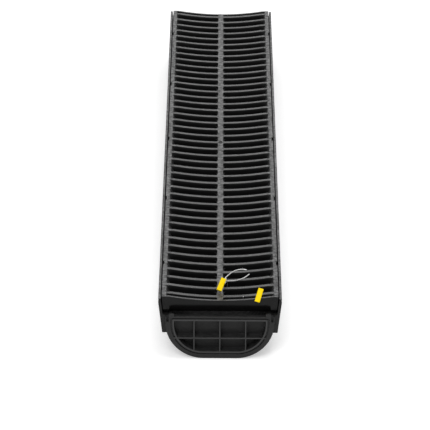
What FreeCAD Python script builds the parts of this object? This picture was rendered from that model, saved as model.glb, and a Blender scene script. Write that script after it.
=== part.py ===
import FreeCAD, Part
import math
import os

from FreeCAD import Vector

# A one-metre channel drain for a patio or a drive. A moulded trough carries a dished, slotted
# grate that snaps into its mouth, a cap plugs one end of the trough, and two wire ties with
# yellow sleeves are still twisted onto the grate.
#
# Millimetres. +Y runs along the drain, away from the capped end, and +Z is up. The origin is on
# the ground, under the middle of the trough.

# Driving dimensions of the drain
DRAIN_LENGTH = 1000.0
DRAIN_WIDTH = 130.0
DRAIN_HEIGHT = 68.0

# Trough: a U with a broad ledge on each side, and a side wall that leans in as it goes down
LIP_TOP = 66.25
LIP_WIDTH = 2.6
LIP_BAND = 4.0
LIP_EDGE_RADIUS = 0.3
SIDE_WALL = 2.4
SIDE_WALL_FOOT = 28.3
SIDE_WALL_FOOT_HALF = 60.8
LEDGE_TOP = 48.0
LEDGE_HALF = 60.5
LEDGE_CORNER_RADIUS = 2.5
LEDGE_NOSE_RADIUS = 1.0
TROUGH_WALL = 2.4
TROUGH_HALF = 50.3
TROUGH_FLOOR = 6.3
TROUGH_RADIUS = 32.3

# Ribs round the outside of the trough, which the drain stands on
RIB_THICKNESS = 2.5
RIB_PITCH = 100.0
RIB_HALF = 57.5
RIB_RADIUS = 40.0

# Windows in the side walls, for the grate's snap lugs
CLIP_PITCH = 200.0
CLIPS_PER_SIDE = 5
WINDOW_LENGTH = 14.0
WINDOW_BOTTOM = 53.0
WINDOW_TOP = 59.6

# Grate
GRATE_LENGTH = 995.0
GRATE_HALF = 61.5
GRATE_FOOT_HALF = 59.4
GRATE_FOOT_RADIUS = 2.5
SIDE_MEMBER = 4.7
SIDE_MEMBER_FOOT = 5.0
SLAT_COUNT = 43
SLAT_PITCH = 23.1
SLAT_WIDTH = 6.0
SLAT_BOTTOM = 55.0
SLAT_BOTTOM_WIDTH = 5.0
SLAT_EDGE_RADIUS = 0.5
CENTRE_RIB = 6.3
CENTRE_RIB_FOOT = 7.8
CENTRE_RIB_BOTTOM = 52.5
CENTRE_RIB_FLARE = 1.0
SLOT_RAMP = 3.6
SLOT_RAMP_DEPTH = 7.0
DISH_SHOULDER = 54.0
DISH_SLOPE = 8.6
DISH_SHOULDER_RADIUS = 20.0
DISH_RADIUS = 330.0
END_BAR = 3.2
END_FACE_DEPTH = 8.0
END_APRON_SETBACK = 7.5
END_APRON_THICKNESS = 2.4
END_APRON_RADIUS = 6.0
END_APRON_OVERLAP = 1.5
END_APRON_GAP = 0.6
END_ARCH_RADIUS = 9.0
END_BLOCK_BOTTOM = 53.6
END_BLOCK_SETBACK = 4.5
GATE_RING_LENGTH = 6.4
GATE_RING_WIDTH = 5.2
GATE_RING_HEIGHT = 0.7
GATE_RING_BAND = 1.1

# Snap lugs on the grate
LUG_LENGTH = 11.0
LUG_TOP = 59.2
LUG_BOTTOM = 53.6
LUG_REACH = 63.6
LUG_NOSE = 1.2
LUG_ROOT = 1.0
LUG_POCKET_DEPTH = 1.3
LUG_POCKET_BOTTOM = 60.0

# End cap: a D-shaped cup in a D-shaped flange
FLANGE_HALF = 57.5
FLANGE_BOTTOM = 0.5
FLANGE_TOP = 47.4
FLANGE_RADIUS = 40.0
FLANGE_TOP_RADIUS = 0.8
FLANGE_THICKNESS = 3.5
CUP_HALF = 50.0
CUP_BOTTOM = 6.6
CUP_TOP = 44.6
CUP_RADIUS = 32.0
CUP_TOP_RADIUS = 1.0
CUP_WALL = 1.8
CUP_RIM_STAND = 0.8
CUP_DEPTH = 12.8
CUP_PANEL = 2.0
FLANGE_GROOVE = 1.7
FLANGE_GROOVE_TOP = 0.9
FLANGE_GROOVE_DEPTH = 1.6
CUP_RIB = 1.4
CUP_RIB_PITCH = 27.2
CUP_SHELF_HEIGHT = 24.1
CUP_RIB_SETBACK = 0.3
EAR_WIDTH = 6.0
EAR_OUTSIDE = 54.0
EAR_TOP = 50.3
EAR_RADIUS = 1.2
EAR_SLIT_BOTTOM = 41.4
EAR_SLIT_WIDTH = 2.2

# Wire ties: galvanised wire through a flat yellow sleeve
WIRE_RADIUS = 0.6
WIRE_CLEARANCE = 0.2
SLEEVE_LENGTH = 14.6
SLEEVE_WIDTH = 5.6
SLEEVE_THICKNESS = 2.6
SLEEVE_EDGE_RADIUS = 0.9
LOOP_RADIUS = 1.5
LARGEST_TURN = 0.45
LOOP_SPREAD_BEHIND = 0.4

# How far a cutter reaches past what it cuts
MARGIN = 1.0

CHANNEL_END = DRAIN_LENGTH / 2
GRATE_END = GRATE_LENGTH / 2
CUP_FRONT = -CHANNEL_END - FLANGE_THICKNESS - CUP_RIM_STAND


def in_xz(across, height):
    """A point of a section across the drain."""
    return Vector(across, 0, height)


def in_yz(along, height):
    """A point of a section along the drain."""
    return Vector(0, along, height)


def turned_corner(before, here, after, radius):
    """The start, the arc and the end of a corner rounded by a radius, or a bare corner."""
    if radius == 0:
        return here, None, here
    back = (before - here).normalize()
    on = (after - here).normalize()
    half_angle = back.getAngle(on) / 2
    reach = radius / math.tan(half_angle)
    start = here + back * reach
    end = here + on * reach
    crown = here + (back + on).normalize() * (radius / math.sin(half_angle) - radius)
    return start, Part.Arc(start, crown, end).toShape(), end


def joined(corners, closed):
    """Straight runs and arcs as one wire, from the starts, arcs and ends of its corners."""
    edges = []
    count = len(corners)
    for index, (_, arc, end) in enumerate(corners):
        if arc is not None:
            edges.append(arc)
        if index == count - 1 and not closed:
            break
        following = corners[(index + 1) % count][0]
        if end.distanceToPoint(following) > 1e-6:
            edges.append(Part.LineSegment(end, following).toShape())
    return Part.Wire(edges)


def outline(corners, lift=in_xz):
    """A face whose corners are given as (u, v, radius)."""
    points = [lift(u, v) for u, v, _ in corners]
    count = len(points)
    turned = []
    for index, (_, _, radius) in enumerate(corners):
        before = points[index - 1]
        after = points[(index + 1) % count]
        turned.append(turned_corner(before, points[index], after, radius))
    return Part.Face(joined(turned, closed=True))


def mirrored(corners):
    """Corners of the right half, from the top to the middle, followed by their left half."""
    return corners + [(-u, v, radius) for u, v, radius in reversed(corners)]


def bar(face, start, end):
    """A section across the drain, carried along it from start to end."""
    solid = face.extrude(Vector(0, end - start, 0))
    solid.translate(Vector(0, start, 0))
    return solid


def box(x, y, z):
    """A box between the limits (low, high) of each axis."""
    size = (x[1] - x[0], y[1] - y[0], z[1] - z[0])
    return Part.makeBox(*size, Vector(x[0], y[0], z[0]))


def d_shape(half, bottom, top, radius, top_radius):
    """A D lying on its back: level on top, with two round corners below."""
    return outline([
        (half, top, top_radius),
        (half, bottom, radius),
        (-half, bottom, radius),
        (-half, top, top_radius),
    ])


def both_sides(solid):
    """A solid and its mirror image across the drain."""
    return [solid, solid.mirror(Vector(0, 0, 0), Vector(1, 0, 0))]


def both_ends(solid):
    """A solid and its mirror image along the drain."""
    return [solid, solid.mirror(Vector(0, 0, 0), Vector(0, 1, 0))]


def rows(pitch, count):
    """Places along the drain, spread evenly about its middle."""
    return [(index - (count - 1) / 2) * pitch for index in range(count)]


# ---- Trough -----------------------------------------------------------------

def side_wall_half(height):
    """Half the width outside the side walls at a height below the lip."""
    lean = (DRAIN_WIDTH / 2 - SIDE_WALL_FOOT_HALF) / (LIP_TOP - LIP_BAND - SIDE_WALL_FOOT)
    return SIDE_WALL_FOOT_HALF + lean * (height - SIDE_WALL_FOOT)


def trough_section():
    """The section of the trough: lips, side walls, ledges and the round-cornered U."""
    under_ledge = LEDGE_TOP - TROUGH_WALL
    outside = TROUGH_HALF + TROUGH_WALL
    lip_half = DRAIN_WIDTH / 2
    outer = [
        (lip_half, LIP_TOP, LIP_EDGE_RADIUS),
        (lip_half, LIP_TOP - LIP_BAND, 0),
        (SIDE_WALL_FOOT_HALF, SIDE_WALL_FOOT, 0),
        (SIDE_WALL_FOOT_HALF - SIDE_WALL, SIDE_WALL_FOOT, 0),
        (side_wall_half(under_ledge) - SIDE_WALL, under_ledge, 0),
        (outside, under_ledge, 0),
        (outside, TROUGH_FLOOR - TROUGH_WALL, TROUGH_RADIUS + TROUGH_WALL),
    ]
    inner = [
        (lip_half - LIP_WIDTH, LIP_TOP, LIP_EDGE_RADIUS),
        (LEDGE_HALF, LEDGE_TOP, LEDGE_CORNER_RADIUS),
        (TROUGH_HALF, LEDGE_TOP, LEDGE_NOSE_RADIUS),
        (TROUGH_HALF, TROUGH_FLOOR, TROUGH_RADIUS),
    ]
    left_inner = [(-u, v, radius) for u, v, radius in inner]
    return outline(mirrored(outer) + left_inner + list(reversed(inner)))


def rib_section():
    """A rib's section: a D under the ledges, widened to the side walls above their feet."""
    under_ledge = LEDGE_TOP - TROUGH_WALL / 2
    rib = d_shape(RIB_HALF, 0, under_ledge, RIB_RADIUS, 0)
    shoulder = outline([
        (side_wall_half(under_ledge) - SIDE_WALL / 2, under_ledge, 0),
        (SIDE_WALL_FOOT_HALF - SIDE_WALL / 2, SIDE_WALL_FOOT, 0),
        (-SIDE_WALL_FOOT_HALF + SIDE_WALL / 2, SIDE_WALL_FOOT, 0),
        (-side_wall_half(under_ledge) + SIDE_WALL / 2, under_ledge, 0),
    ])
    middle = TROUGH_WALL / 2
    hollow = d_shape(TROUGH_HALF + middle, TROUGH_FLOOR - middle, under_ledge + MARGIN,
                     TROUGH_RADIUS + middle, 0)
    return rib.fuse(shoulder).removeSplitter().cut(hollow)


def trough():
    """The trough with its ribs, and a window in the side wall for each of the grate's lugs."""
    body = bar(trough_section(), -CHANNEL_END, CHANNEL_END)
    section = rib_section()
    inner_ribs = rows(RIB_PITCH, int(DRAIN_LENGTH / RIB_PITCH) - 1)
    end_rib = CHANNEL_END - RIB_THICKNESS / 2
    ribs = []
    for middle in [-end_rib] + inner_ribs + [end_rib]:
        ribs.append(bar(section, middle - RIB_THICKNESS / 2, middle + RIB_THICKNESS / 2))
    windows = []
    for middle in rows(CLIP_PITCH, CLIPS_PER_SIDE):
        window = box((LEDGE_HALF, DRAIN_WIDTH / 2 + MARGIN),
                     (middle - WINDOW_LENGTH / 2, middle + WINDOW_LENGTH / 2),
                     (WINDOW_BOTTOM, WINDOW_TOP))
        windows += both_sides(window)
    return body.fuse(ribs).removeSplitter().cut(windows)


# ---- Grate ------------------------------------------------------------------

def dish_depth():
    """How far the dish's two slopes would meet below the grate's edges, left unblended."""
    return DISH_SHOULDER * math.tan(math.radians(DISH_SLOPE))


def dish_height(across):
    """The height of the grate's top on its round middle part."""
    slope = math.radians(DISH_SLOPE)
    centre = DRAIN_HEIGHT - dish_depth() + DISH_RADIUS / math.cos(slope)
    return centre - math.sqrt(DISH_RADIUS ** 2 - across ** 2)


def grate_side_half(height):
    """Half the width of the grate at a height, between its top edge and its foot."""
    lean = (GRATE_HALF - GRATE_FOOT_HALF) / (DRAIN_HEIGHT - LEDGE_TOP)
    return GRATE_HALF - lean * (DRAIN_HEIGHT - height)


def grate_section():
    """The grate's section before it is slotted: side members, dished deck and centre rib."""
    ramp_foot = GRATE_HALF - SIDE_MEMBER - SLOT_RAMP
    right = [
        (DISH_SHOULDER, DRAIN_HEIGHT, DISH_SHOULDER_RADIUS),
        (GRATE_HALF, DRAIN_HEIGHT, SLAT_EDGE_RADIUS),
        (GRATE_FOOT_HALF, LEDGE_TOP, GRATE_FOOT_RADIUS),
        (GRATE_FOOT_HALF - SIDE_MEMBER_FOOT, LEDGE_TOP, 0),
        (ramp_foot, SLAT_BOTTOM, 0),
        (CENTRE_RIB_FOOT / 2, SLAT_BOTTOM, 0),
        (CENTRE_RIB_FOOT / 2, CENTRE_RIB_BOTTOM, 0),
    ]
    return outline([(0, DRAIN_HEIGHT - dish_depth(), DISH_RADIUS)] + mirrored(right))


def slot_cutter():
    """The space between two slats on one side: ramped ends, and slats that taper downwards."""
    over = DRAIN_HEIGHT + MARGIN
    under = SLAT_BOTTOM - MARGIN
    ramp_top = GRATE_HALF - SIDE_MEMBER
    ramp_knee = DRAIN_HEIGHT - SLOT_RAMP_DEPTH
    across = outline([
        (CENTRE_RIB / 2, over, 0),
        (CENTRE_RIB / 2, DRAIN_HEIGHT - dish_depth(), 0),
        (CENTRE_RIB_FOOT / 2, ramp_knee - CENTRE_RIB_FLARE, 0),
        (CENTRE_RIB_FOOT / 2, under, 0),
        (ramp_top - SLOT_RAMP, under, 0),
        (ramp_top - SLOT_RAMP, ramp_knee, 0),
        (ramp_top, DRAIN_HEIGHT, 0),
        (ramp_top, over, 0),
    ])
    half_top = (SLAT_PITCH - SLAT_WIDTH) / 2
    half_bottom = (SLAT_PITCH - SLAT_BOTTOM_WIDTH) / 2
    taper = (half_bottom - half_top) / (DRAIN_HEIGHT - SLAT_BOTTOM)
    along = outline([
        (half_top - taper, over, 0),
        (half_bottom + taper, under, 0),
        (-half_bottom - taper, under, 0),
        (-half_top + taper, over, 0),
    ], in_yz)
    reach = Vector(DRAIN_WIDTH / 2, 0, 0)
    return bar(across, -SLAT_PITCH, SLAT_PITCH).common(along.extrude(reach))


def end_slot_cutter(slot):
    """The narrower space between the last slat and the end bar, from the usual one."""
    last_gap = (SLAT_COUNT - 1) / 2 * SLAT_PITCH + SLAT_PITCH / 2
    inside = GRATE_END - END_BAR
    cutter = slot.copy()
    cutter.translate(Vector(0, last_gap, 0))
    return cutter.common(box((0, DRAIN_WIDTH), (0, inside), (0, 2 * DRAIN_HEIGHT)))


def across_grate(section, half):
    """A section along the drain, carried across it to both sides."""
    solid = section.extrude(Vector(2 * half, 0, 0))
    solid.translate(Vector(-half, 0, 0))
    return solid


def apron_front():
    """The corners of the curled front of the wall below an end bar, from its top to its foot."""
    knee = DRAIN_HEIGHT - END_FACE_DEPTH
    return [
        (GRATE_END, knee + END_APRON_OVERLAP, 0),
        (GRATE_END, knee - END_APRON_OVERLAP, END_APRON_RADIUS),
        (GRATE_END - END_APRON_SETBACK, LEDGE_TOP + END_APRON_GAP, 0),
    ]


def end_apron():
    """The wall below an end bar, which curls back under the grate."""
    front = apron_front()
    inside = GRATE_END - END_BAR
    foot = front[2][0] - END_APRON_THICKNESS
    section = outline(front + [
        (foot, front[2][1], 0),
        (inside, front[1][1], 0),
        (inside, front[0][1], 0),
    ], in_yz)
    return across_grate(section, GRATE_FOOT_HALF - SIDE_MEMBER_FOOT / 2)


def end_recess():
    """The space in front of an apron: an arch between the ends of the side members."""
    front = apron_front()
    behind = outline(front + [(front[2][0], front[0][1], 0)], in_yz)
    low = LEDGE_TOP - MARGIN
    block = outline([
        (GRATE_END + MARGIN, front[0][1], 0),
        (GRATE_END + MARGIN, low, 0),
        (front[2][0], low, 0),
        (front[2][0], front[0][1], 0),
    ], in_yz)
    half = GRATE_FOOT_HALF - SIDE_MEMBER_FOOT
    arch = outline([
        (half, front[0][1], END_ARCH_RADIUS),
        (half, low, 0),
        (-half, low, 0),
        (-half, front[0][1], END_ARCH_RADIUS),
    ])
    space = across_grate(block.cut(behind).Faces[0], half)
    return space.common(bar(arch, 0, GRATE_END + MARGIN))


def end_chamfer():
    """What the ends of the side members lack at their feet, where they lean back."""
    low = LEDGE_TOP - MARGIN
    lean = END_BLOCK_SETBACK / (END_BLOCK_BOTTOM - LEDGE_TOP)
    section = outline([
        (GRATE_END, END_BLOCK_BOTTOM, 0),
        (GRATE_END + MARGIN, END_BLOCK_BOTTOM, 0),
        (GRATE_END + MARGIN, low, 0),
        (GRATE_END - lean * (END_BLOCK_BOTTOM - low), low, 0),
    ], in_yz)
    return across_grate(section, GRATE_HALF)


def gate_ring():
    """The oval ring that the moulding gate leaves on the middle of the centre rib."""
    base = dish_height(0) - GATE_RING_HEIGHT
    height = 2 * GATE_RING_HEIGHT
    rings = []
    for shrink in (0, GATE_RING_BAND):
        length = GATE_RING_LENGTH / 2 - shrink
        width = GATE_RING_WIDTH / 2 - shrink
        oval = Part.Ellipse(Vector(0, 0, base), length, width).toShape()
        oval.rotate(Vector(0, 0, base), Vector(0, 0, 1), 90)
        rings.append(Part.Face(Part.Wire([oval])).extrude(Vector(0, 0, height)))
    return rings[0].cut(rings[1])


def snap_lug(middle):
    """A wedge on the grate's right side that snaps into a window at a place along the drain."""
    root = grate_side_half(LUG_TOP) - LUG_ROOT
    wedge = outline([
        (root, LUG_TOP, 0),
        (LUG_REACH, LUG_TOP, 0),
        (LUG_REACH, LUG_TOP - LUG_NOSE, 0),
        (grate_side_half(LUG_BOTTOM), LUG_BOTTOM, 0),
        (root, LUG_BOTTOM, 0),
    ])
    return bar(wedge, middle - LUG_LENGTH / 2, middle + LUG_LENGTH / 2)


def lug_pocket(middle):
    """The pocket above a lug, which lets a blade reach it from the top."""
    return box((GRATE_HALF - LUG_POCKET_DEPTH, DRAIN_WIDTH / 2),
               (middle - LUG_LENGTH / 2, middle + LUG_LENGTH / 2),
               (LUG_POCKET_BOTTOM, DRAIN_HEIGHT + MARGIN))


def grate():
    """The grate in one piece."""
    body = bar(grate_section(), -GRATE_END, GRATE_END)
    slot = slot_cutter()
    cutters = []
    for middle in rows(SLAT_PITCH, SLAT_COUNT - 1):
        between = slot.copy()
        between.translate(Vector(0, middle, 0))
        cutters += both_sides(between)
    for end_slot in both_sides(end_slot_cutter(slot)):
        cutters += both_ends(end_slot)
    clips = rows(CLIP_PITCH, CLIPS_PER_SIDE)
    pockets = []
    lugs = []
    for middle in clips:
        pockets += both_sides(lug_pocket(middle))
        lugs += both_sides(snap_lug(middle))
    recesses = both_ends(end_recess()) + both_ends(end_chamfer())
    aprons = both_ends(end_apron())
    return body.cut(cutters + pockets + recesses).fuse(lugs + aprons + [gate_ring()])


# ---- End cap ----------------------------------------------------------------

def cup_shape(shrink):
    """The cup's outline, drawn in by a distance all round."""
    return d_shape(CUP_HALF - shrink, CUP_BOTTOM + shrink, CUP_TOP - shrink,
                   CUP_RADIUS - shrink, max(CUP_TOP_RADIUS - shrink, 0))


def flange():
    """The flange, with a groove round the cup and an ear beside a slit at each top corner."""
    front = -CHANNEL_END - FLANGE_THICKNESS
    plate = bar(d_shape(FLANGE_HALF, FLANGE_BOTTOM, FLANGE_TOP, FLANGE_RADIUS,
                        FLANGE_TOP_RADIUS), front, -CHANNEL_END)
    ear = bar(outline([
        (EAR_OUTSIDE, EAR_TOP, EAR_RADIUS),
        (EAR_OUTSIDE, EAR_SLIT_BOTTOM, 0),
        (EAR_OUTSIDE - EAR_WIDTH, EAR_SLIT_BOTTOM, 0),
        (EAR_OUTSIDE - EAR_WIDTH, EAR_TOP, 0),
    ]), front, -CHANNEL_END)
    slit = box((EAR_OUTSIDE, EAR_OUTSIDE + EAR_SLIT_WIDTH), (front - MARGIN, -CHANNEL_END + MARGIN),
               (EAR_SLIT_BOTTOM, FLANGE_TOP + MARGIN))
    groove_outer = d_shape(CUP_HALF + FLANGE_GROOVE, CUP_BOTTOM - FLANGE_GROOVE,
                           CUP_TOP + FLANGE_GROOVE_TOP, CUP_RADIUS + FLANGE_GROOVE, 0)
    groove = bar(groove_outer, front - MARGIN, front + FLANGE_GROOVE_DEPTH)
    return plate.fuse(both_sides(ear)).removeSplitter().cut(both_sides(slit) + [groove])


def end_cap():
    """The cap: the flange, the cup that plugs the trough, and the cup's grid of ribs."""
    back = CUP_FRONT + CUP_DEPTH + CUP_PANEL
    cup = bar(cup_shape(0), CUP_FRONT, back)
    hollow = bar(cup_shape(CUP_WALL), CUP_FRONT - MARGIN, CUP_FRONT + CUP_DEPTH)
    blank = flange().fuse(cup).removeSplitter().cut(hollow)
    web_front = CUP_FRONT + CUP_RIB_SETBACK
    web_back = CUP_FRONT + CUP_DEPTH + CUP_PANEL / 2
    webs = [box((-CUP_HALF, CUP_HALF), (web_front, web_back),
                (CUP_SHELF_HEIGHT - CUP_RIB, CUP_SHELF_HEIGHT))]
    for middle in (-CUP_RIB_PITCH, 0, CUP_RIB_PITCH):
        webs.append(box((middle - CUP_RIB / 2, middle + CUP_RIB / 2), (web_front, web_back),
                        (CUP_BOTTOM, CUP_TOP)))
    inside = bar(cup_shape(CUP_WALL / 2), CUP_FRONT, back)
    return blank.fuse([web.common(inside) for web in webs]).removeSplitter()


# ---- Wire ties --------------------------------------------------------------

def free_radius(before, here, after):
    """The largest corner radius that two straight runs leave room for."""
    shorter = min(here.distanceToPoint(before), here.distanceToPoint(after))
    turn = math.pi - (before - here).getAngle(after - here)
    return LARGEST_TURN * shorter / math.tan(turn / 2)


def wire_path(route):
    """Straight runs joined by tangent arcs, through (point, radius or None for the largest)."""
    points = [point for point, _ in route]
    corners = [(points[0], None, points[0])]
    for index in range(1, len(points) - 1):
        before, here, after = points[index - 1:index + 2]
        radius = route[index][1] or free_radius(before, here, after)
        corners.append(turned_corner(before, here, after, radius))
    corners.append((points[-1], None, points[-1]))
    return joined(corners, closed=False)


def tube(path, radius, name):
    """A round solid along a path, whose volume is printed beside its section times its length."""
    start = path.OrderedVertexes[0].Point
    ahead = path.OrderedEdges[0].tangentAt(path.OrderedEdges[0].FirstParameter)
    ring = Part.Wire([Part.Circle(start, ahead, radius).toShape()])
    solid = Part.Solid(path.makePipeShell([ring], True, True))
    if solid.Volume < 0:
        solid.reverse()
    plain = math.pi * radius ** 2 * path.Length
    print(f"{name}: {path.Length:.1f} mm long, volume {solid.Volume:.2f} of {plain:.2f} mm3")
    return solid


class Sleeve:
    """A flat sleeve that leans on the grate, placed by the middles of its two ends."""

    def __init__(self, foot, head, across):
        """Take the middle of each end, and roughly the way across the sleeve."""
        self.foot = foot
        self.along = (head - foot).normalize()
        self.normal = across.cross(self.along).normalize()
        self.across = self.along.cross(self.normal).normalize()

    def point(self, along, across, out=0.0):
        """A point on the sleeve: from its foot, its middle line and its middle plane."""
        return self.foot + self.along * along + self.across * across + self.normal * out

    def solid(self):
        """The sleeve with round edges along its length."""
        blank = Part.makeBox(SLEEVE_WIDTH, SLEEVE_LENGTH, SLEEVE_THICKNESS,
                             Vector(-SLEEVE_WIDTH / 2, 0, -SLEEVE_THICKNESS / 2))
        long_edges = [edge for edge in blank.Edges if abs(edge.Length - SLEEVE_LENGTH) < 1e-6]
        blank = blank.makeFillet(SLEEVE_EDGE_RADIUS, long_edges)
        frame = FreeCAD.Matrix(
            self.across.x, self.along.x, self.normal.x, self.foot.x,
            self.across.y, self.along.y, self.normal.y, self.foot.y,
            self.across.z, self.along.z, self.normal.z, self.foot.z,
            0, 0, 0, 1)
        return blank.transformGeometry(frame)


def slat_place(slats_from_middle):
    """The middle of a slat along the drain, counted from the middle one."""
    return slats_from_middle * SLAT_PITCH


def slat_loop(slat, across, spread):
    """A wire's way round a slat: over its top, down behind it, under it and up in front."""
    middle = slat_place(slat)
    stand = WIRE_RADIUS + WIRE_CLEARANCE
    half = SLAT_WIDTH / 2 + stand
    top = dish_height(across) + stand
    bottom = SLAT_BOTTOM - stand
    return [
        (Vector(across, middle + half, top), LOOP_RADIUS),
        (Vector(across + spread * LOOP_SPREAD_BEHIND, middle + half, bottom), LOOP_RADIUS),
        (Vector(across + spread, middle - half, bottom), LOOP_RADIUS),
    ]


def bored(sleeve, wire):
    """A sleeve without the room that its wire takes inside it."""
    return sleeve.solid().cut(wire)


def centre_tie():
    """The tie on the third slat from the end, whose two wire ends spring free of its sleeve."""
    sleeve = Sleeve(foot=Vector(-1.2, -474.4, 65.7), head=Vector(3.95, -464.5, 75.65),
                    across=Vector(6.5, -0.54, -2.86))
    upper, lower = 0.1, 1.6
    leg, spread = 6.2, 1.6
    loop = slat_loop(-19, leg, spread)
    deck = loop[0][0].z
    front = loop[2][0].y
    upper_end = [
        Vector(28.0, -443.0, 77.0),
        Vector(23.5, -443.2, 77.7),
        Vector(17.6, -446.0, 78.0),
        Vector(12.4, -451.7, 77.6),
        Vector(7.7, -459.1, 76.4),
    ]
    lower_end = [
        Vector(10.9, -463.6, 72.3),
        Vector(16.1, -461.0, 71.6),
        Vector(21.3, -457.3, 71.6),
        Vector(26.5, -453.3, 72.4),
        Vector(30.9, -447.8, 74.1),
    ]
    route = [(point, None) for point in upper_end]
    route += [
        (sleeve.point(SLEEVE_LENGTH - 2.0, upper), 2.5),
        (sleeve.point(SLEEVE_LENGTH * 0.6, upper), LOOP_RADIUS),
        (Vector(leg, front - 3.5, deck + 1.6), 6.0),
    ]
    route += loop
    route += [
        (Vector(leg + spread, front, deck - 0.4), 2.4),
        (sleeve.point(SLEEVE_LENGTH * 0.5, lower), LOOP_RADIUS),
        (sleeve.point(SLEEVE_LENGTH - 2.4, lower), LOOP_RADIUS),
    ]
    route += [(point, None) for point in lower_end]
    wire = tube(wire_path(route), WIRE_RADIUS, "tie_wire_centre")
    return {"tie_wire_centre": wire, "tie_sleeve_centre": bored(sleeve, wire)}


def front_tie():
    """The tie on the last slat: its sleeve leans over the end bar, its tail turns up behind."""
    sleeve = Sleeve(foot=Vector(38.9, -503.0, 64.7), head=Vector(42.8, -496.4, 76.1),
                    across=Vector(5.2, -1.0, -1.2))
    leg = 42.0
    loop = slat_loop(-21, leg, -1.0)
    deck = loop[0][0].z
    under = loop[2][0]
    route = [
        (sleeve.point(SLEEVE_LENGTH - 2.0, 0), None),
        (sleeve.point(SLEEVE_LENGTH * 0.6, 0), LOOP_RADIUS),
        (Vector(leg, under.y - 1.5, deck + 0.8), 5.0),
    ]
    route += loop
    route += [
        (Vector(24.8, under.y, under.z - 0.4), 3.0),
        (Vector(24.4, -491.3, 65.9), None),
    ]
    wire = tube(wire_path(route), WIRE_RADIUS, "tie_wire_front")
    return {"tie_wire_front": wire, "tie_sleeve_front": bored(sleeve, wire)}


def main():
    """Build every piece and write one STEP file for each."""
    os.makedirs("parts", exist_ok=True)
    pieces = {
        "channel_body": trough(),
        "grate": grate(),
        "end_cap": end_cap(),
        **centre_tie(),
        **front_tie(),
    }
    for name, shape in pieces.items():
        shape.exportStep(f"parts/{name}.step")
        print(name, "valid" if shape.isValid() else "NOT VALID", len(shape.Solids), "solids",
              len(shape.Faces), "faces", f"{shape.Volume / 1000:.2f} cm3")


main()
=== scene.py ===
"""A one-metre channel drain: trough, dished slotted grate, end cap and two wire ties."""

import logging
import math
from dataclasses import dataclass
from enum import Enum

import bmesh
import bpy
import numpy as np
from mathutils import Matrix
from mathutils.geometry import tessellate_polygon


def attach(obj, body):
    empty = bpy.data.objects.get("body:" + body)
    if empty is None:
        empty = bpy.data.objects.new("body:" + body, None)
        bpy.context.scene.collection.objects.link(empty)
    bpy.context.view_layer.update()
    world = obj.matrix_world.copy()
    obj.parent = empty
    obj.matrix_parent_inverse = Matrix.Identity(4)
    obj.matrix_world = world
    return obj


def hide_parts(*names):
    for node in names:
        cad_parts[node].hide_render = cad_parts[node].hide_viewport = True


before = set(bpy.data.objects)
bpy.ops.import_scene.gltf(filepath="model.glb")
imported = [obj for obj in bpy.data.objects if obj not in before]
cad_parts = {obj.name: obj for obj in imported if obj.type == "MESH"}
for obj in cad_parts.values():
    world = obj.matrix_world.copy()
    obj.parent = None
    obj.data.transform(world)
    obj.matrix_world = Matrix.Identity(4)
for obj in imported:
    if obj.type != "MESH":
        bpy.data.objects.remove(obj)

Array = np.ndarray
Object = bpy.types.Object
Material = bpy.types.Material

LOG = logging.getLogger("channel_drain")
MM = 0.001
WELD = 0.001
BODY = "root"


class End(Enum):
    """The two ends of the drain, as signs of Y."""

    CAPPED = -1
    OPEN = 1


# ---- Meshes -----------------------------------------------------------------

def unit(vectors: Array) -> Array:
    """Vectors divided by their own length, along the last axis."""
    return vectors / np.linalg.norm(vectors, axis=-1, keepdims=True)


def turned(corners: Array, steps: int) -> Array:
    """Rounds the corners of a closed flat outline.

    A corner between two straight runs that meet at an angle 2a is replaced by an arc of its own
    radius r. The arc touches the runs at r / tan(a) from the corner, and its centre lies at
    r / sin(a) on the line that halves the angle. A point of the arc is the weighted sum of its
    first and last radius vectors, as on any great circle.

    Args:
        corners: One row (u, v, radius) for each corner.
        steps: The number of pieces in each arc.

    Returns:
        The points (u, v), steps + 1 for each corner, in order.
    """
    points, radii = corners[:, :2], corners[:, 2:]
    with np.errstate(divide="ignore", invalid="ignore"):
        back = unit(np.roll(points, 1, axis=0) - points)
        on = unit(np.roll(points, -1, axis=0) - points)
        half = np.arccos(np.clip((back * on).sum(1, keepdims=True), -1, 1)) / 2
        centre = points + unit(back + on) * radii / np.sin(half)
        first = points + back * radii / np.tan(half) - centre
        last = points + on * radii / np.tan(half) - centre
        sweep = math.pi - 2 * half[:, None]
        share = np.linspace(0, 1, steps + 1)[None, :, None]
        arc = (centre[:, None] + np.sin((1 - share) * sweep) / np.sin(sweep) * first[:, None]
               + np.sin(share * sweep) / np.sin(sweep) * last[:, None])
    return np.where(radii[:, None] > 0, arc, points[:, None]).reshape(-1, 2)


def inset(corners: Array, depth: float) -> Array:
    """Draws a counterclockwise outline in by the same depth all round.

    Each corner moves along the sum of its two inward normals m and n, by depth / (1 + m.n). The
    radius of an outer corner shrinks by the depth, and that of an inner corner grows by it.

    Args:
        corners: One row (u, v, radius) for each corner.
        depth: How far the outline is drawn in.

    Returns:
        The moved corners, in the same form.
    """
    points, radii = corners[:, :2], corners[:, 2]
    along = unit(np.roll(points, -1, axis=0) - points)
    before = np.roll(along, 1, axis=0)
    here = np.stack([-along[:, 1], along[:, 0]], axis=1)
    last = np.roll(here, 1, axis=0)
    shift = (last + here) / (1 + (last * here).sum(1, keepdims=True))
    turn = np.sign(before[:, 0] * along[:, 1] - before[:, 1] * along[:, 0])
    grown = np.where(radii > 0, np.maximum(radii - depth * turn, 0), 0)
    return np.column_stack([points + shift * depth, grown])


def d_corners(half: float, bottom: float, top: float, radius: float, top_radius: float) -> Array:
    """The corners of a D on its back: level on top, with two large round corners below."""
    return np.array([
        (half, bottom, radius),
        (half, top, top_radius),
        (-half, top, top_radius),
        (-half, bottom, radius),
    ])


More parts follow.
